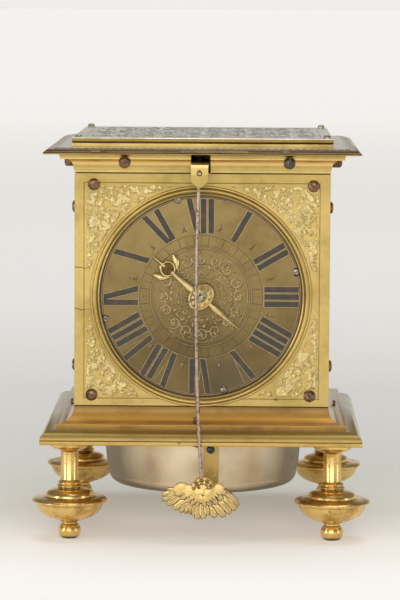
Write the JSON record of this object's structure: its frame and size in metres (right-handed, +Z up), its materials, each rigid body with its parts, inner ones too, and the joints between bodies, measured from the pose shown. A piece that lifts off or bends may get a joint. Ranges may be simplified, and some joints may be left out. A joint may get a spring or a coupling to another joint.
{
  "type": "lantern clock",
  "caption": "Square brass table clock with a round dial, single hour hand, front short pendulum with winged bob, moulded base and cornice, and a bell under the base.",
  "frame": {"origin": "on the floor that the feet stand on, under the middle of the square case", "axes": "+Z up, the dial faces -Y, +X is to the right of someone who reads the dial"},
  "size_m": [0.1652, 0.1614, 0.1972],
  "materials": {
    "gilt_brass": "worn gilding over engraved brass, soft sheen",
    "base_brass": "warm orange-brown gilt brass, turned and filed",
    "lid_plate": "pale worn engraved plate",
    "dial_brass": "aged olive brass with dark filled numerals",
    "bell_metal": "silvery tan bell metal, turned and dulled",
    "old_steel_screws": "brown rusted steel",
    "bright_steel": "bright steel, lightly tarnished",
    "blued_steel": "heat-blued steel",
    "hand_brass": "gilt chased brass",
    "pendulum_wire": "drawn wire with a brown tarnish",
    "movement_brass": "hammered and filed clock brass",
    "movement_steel": "filed steel",
    "spring_steel": "tempered spring ribbon"
  },
  "bodies": {
    "case": {"base_moulding": "base_brass", "base_plate": "base_brass", "feet": "base_brass", "front_panel": "gilt_brass", "rear_panel": "gilt_brass", "left_panel": "gilt_brass", "right_panel": "gilt_brass", "corner_posts": "movement_brass", "panel_screws": "old_steel_screws", "cornice": "gilt_brass", "cornice_screws": "old_steel_screws", "base_screws": "bright_steel", "lid": "lid_plate", "lid_screws": "bright_steel", "bezel": "gilt_brass", "dial_seat": "movement_brass", "dial": "dial_brass", "dial_screws": "bright_steel", "bell": "bell_metal", "bell_post": "movement_steel", "bell_nut": "blued_steel", "stay": "gilt_brass", "stay_lug": "gilt_brass", "stay_screw": "blued_steel", "front_cock": "gilt_brass", "rear_cock": "movement_brass", "movement_front_plate": "movement_brass", "movement_rear_plate": "movement_brass", "movement_pillars": "movement_brass", "crown_bridge": "movement_brass", "crown_potence": "movement_brass"},
    "pendulum": {"verge": "movement_steel", "pendulum_rod": "pendulum_wire", "bob": "gilt_brass"},
    "crown": {"crown_wheel": "movement_brass", "crown_arbor": "movement_steel"},
    "contrate": {"contrate_wheel": "movement_brass", "contrate_arbor": "movement_steel"},
    "third": {"third_wheel": "movement_brass", "third_arbor": "movement_steel"},
    "second": {"second_wheel": "movement_brass", "second_arbor": "movement_steel"},
    "going_drum": {"going_barrel": "movement_brass", "going_mainspring": "spring_steel"},
    "going_winding": {"going_winder": "movement_steel"},
    "going_pawl": {"going_click": "movement_steel"},
    "hour": {"hour_wheel": "movement_brass"},
    "hand": {"hour_hand": "hand_brass", "hand_pin": "bright_steel", "hour_arbor": "bright_steel"},
    "strike_drum": {"strike_barrel": "movement_brass", "strike_mainspring": "spring_steel"},
    "strike_winding": {"strike_winder": "movement_steel"},
    "strike_pawl": {"strike_click": "movement_steel"},
    "lifting": {"pin_wheel": "movement_brass"},
    "hoop": {"hoop_wheel": "movement_brass"},
    "warning": {"warning_wheel": "movement_brass"},
    "air_brake": {"fly": "movement_steel"},
    "counting": {"countwheel": "movement_brass"},
    "striker": {"hammer": "movement_steel"}
  },
  "joints": [
    {"name": "pendulum_swing", "type": "hinge", "parent": "case", "child": "pendulum", "pos_m": [-0.0012, 0, 0.1805], "axis": [0, 1, 0], "range_deg": [-15, 15]},
    {"name": "contrate_turn", "type": "hinge", "parent": "case", "child": "contrate", "pos_m": [-0.0012, 0, 0.12472], "axis": [0, 1, 0], "continuous": true},
    {"name": "third_turn", "type": "hinge", "parent": "case", "child": "third", "pos_m": [0.01036, 0, 0.11972], "axis": [0, 1, 0], "continuous": true},
    {"name": "second_turn", "type": "hinge", "parent": "case", "child": "second", "pos_m": [0.01876, 0, 0.10517], "axis": [0, 1, 0], "continuous": true},
    {"name": "going_barrel_turn", "type": "hinge", "parent": "case", "child": "going_drum", "pos_m": [0.0243, 0, 0.07915], "axis": [0, 1, 0], "continuous": true},
    {"name": "crown_turn", "type": "hinge", "parent": "case", "child": "crown", "pos_m": [-0.0012, -0.024, 0.15], "axis": [0, 0, 1], "continuous": true},
    {"name": "hour_wheel_turn", "type": "hinge", "parent": "case", "child": "hour", "pos_m": [-0.0004, 0, 0.1186], "axis": [0, 1, 0], "continuous": true},
    {"name": "hand_set", "type": "hinge", "parent": "hour", "child": "hand", "pos_m": [-0.0004, 0, 0.1186], "axis": [0, 1, 0], "continuous": true},
    {"name": "going_wind", "type": "hinge", "parent": "case", "child": "going_winding", "pos_m": [0.0243, 0, 0.07915], "axis": [0, 1, 0], "range_deg": [0, 1440]},
    {"name": "going_click_lift", "type": "hinge", "parent": "case", "child": "going_pawl", "pos_m": [0.02686, 0, 0.09102], "axis": [0, -1, 0], "range_deg": [0, 14], "stiffness_Nm_per_rad": 0.001, "springref_deg": -17.19},
    {"name": "warning_turn", "type": "hinge", "parent": "case", "child": "warning", "pos_m": [-0.02228, 0, 0.13029], "axis": [0, 1, 0], "continuous": true},
    {"name": "hoop_turn", "type": "hinge", "parent": "case", "child": "hoop", "pos_m": [-0.02858, 0, 0.11938], "axis": [0, 1, 0], "continuous": true},
    {"name": "pin_wheel_turn", "type": "hinge", "parent": "case", "child": "lifting", "pos_m": [-0.02048, 0, 0.10535], "axis": [0, 1, 0], "continuous": true},
    {"name": "strike_barrel_turn", "type": "hinge", "parent": "case", "child": "strike_drum", "pos_m": [-0.0251, 0, 0.07915], "axis": [0, 1, 0], "continuous": true},
    {"name": "fly_turn", "type": "hinge", "parent": "case", "child": "air_brake", "pos_m": [-0.02416, 0, 0.14092], "axis": [0, 1, 0], "continuous": true},
    {"name": "countwheel_turn", "type": "hinge", "parent": "case", "child": "counting", "pos_m": [-0.01081, 0, 0.1221], "axis": [0, 1, 0], "continuous": true},
    {"name": "hammer_swing", "type": "hinge", "parent": "case", "child": "striker", "pos_m": [-0.04104, 0, 0.0995], "axis": [0, -1, 0], "range_deg": [-0.5, 9]},
    {"name": "strike_wind", "type": "hinge", "parent": "case", "child": "strike_winding", "pos_m": [-0.0251, 0, 0.07915], "axis": [0, 1, 0], "range_deg": [0, 1440]},
    {"name": "strike_click_lift", "type": "hinge", "parent": "case", "child": "strike_pawl", "pos_m": [-0.02254, 0, 0.09102], "axis": [0, -1, 0], "range_deg": [0, 14], "stiffness_Nm_per_rad": 0.001, "springref_deg": -17.19}
  ],
  "couplings": [
    {"joint": "third_turn", "follows": "contrate_turn", "ratio": -0.16667},
    {"joint": "second_turn", "follows": "contrate_turn", "ratio": 0.02},
    {"joint": "going_barrel_turn", "follows": "contrate_turn", "ratio": -0.0033333},
    {"joint": "hour_wheel_turn", "follows": "contrate_turn", "ratio": -0.0016667},
    {"joint": "crown_turn", "follows": "contrate_turn", "ratio": -6},
    {"joint": "fly_turn", "follows": "warning_turn", "ratio": -5},
    {"joint": "hoop_turn", "follows": "warning_turn", "ratio": -0.16667},
    {"joint": "pin_wheel_turn", "follows": "warning_turn", "ratio": 0.020833},
    {"joint": "strike_barrel_turn", "follows": "warning_turn", "ratio": -0.0034722},
    {"joint": "countwheel_turn", "follows": "warning_turn", "ratio": -0.0021368}
  ]
}
